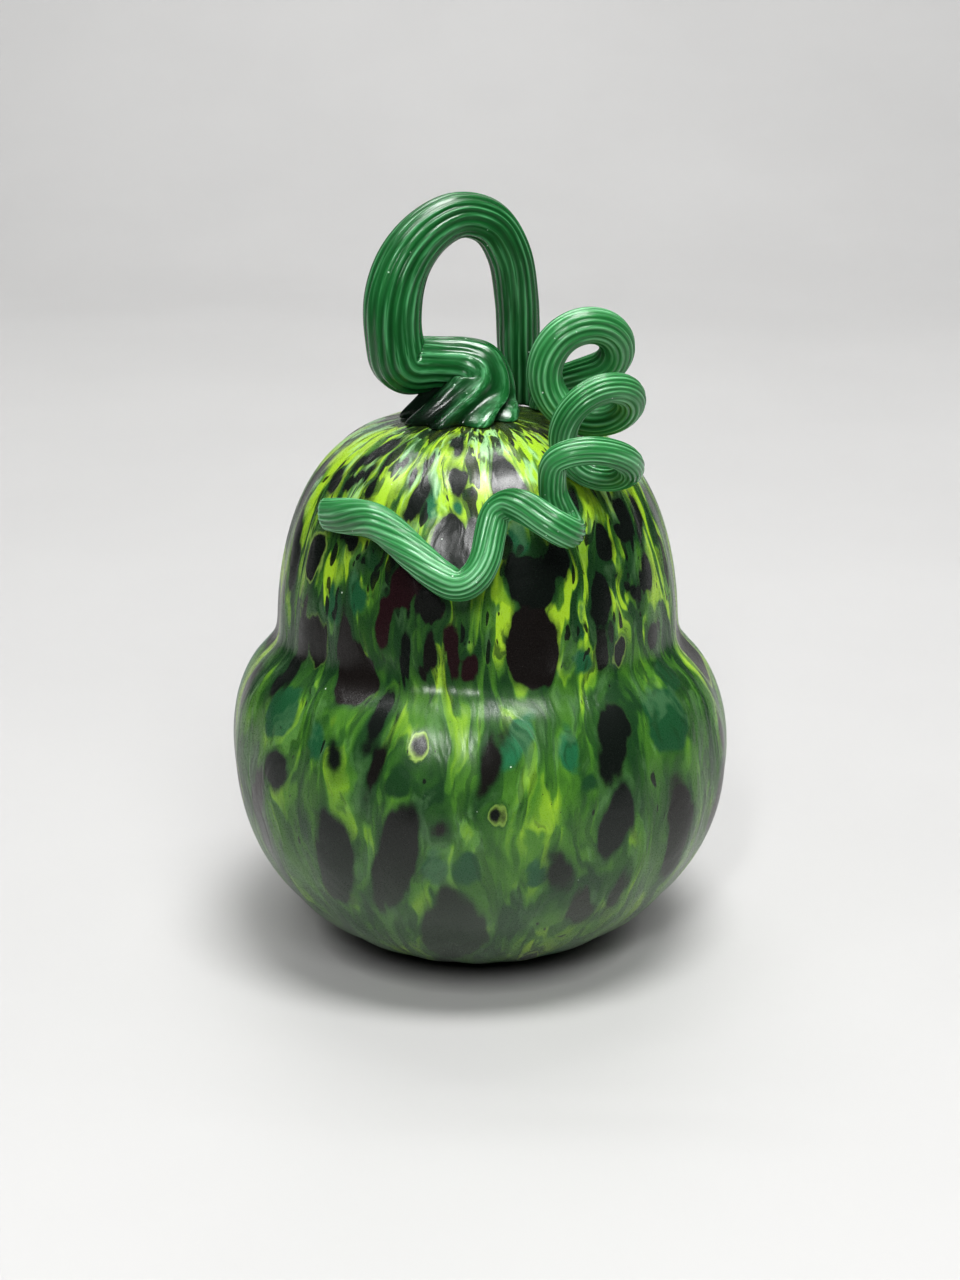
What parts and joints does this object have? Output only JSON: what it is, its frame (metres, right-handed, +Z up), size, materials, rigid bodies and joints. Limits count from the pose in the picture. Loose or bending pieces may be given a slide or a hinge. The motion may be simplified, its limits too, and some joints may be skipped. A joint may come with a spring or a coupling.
{
  "type": "blown glass gourd ornament",
  "caption": "Hollow two-lobed blown-glass gourd on a small flat foot, with a looped ribbed stem and a curled ribbed tendril over its shoulder.",
  "frame": {"origin": "centre of the flat foot, on the surface that the ornament rests on", "axes": "+Z up through the crown, -Y to the front that the tail of the tendril crosses, +X to the side of the tendril's coil"},
  "size_m": [0.1399, 0.1398, 0.2091],
  "materials": {
    "mottled_glass": "satin, streaked in lime and green with black and dark red chips",
    "stem_glass": "satin dark green, ribbed",
    "tendril_glass": "satin mid green, ribbed"
  },
  "bodies": {
    "root": {"glass_body": "mottled_glass", "stem": "stem_glass", "tendril": "tendril_glass"}
  },
  "joints": []
}
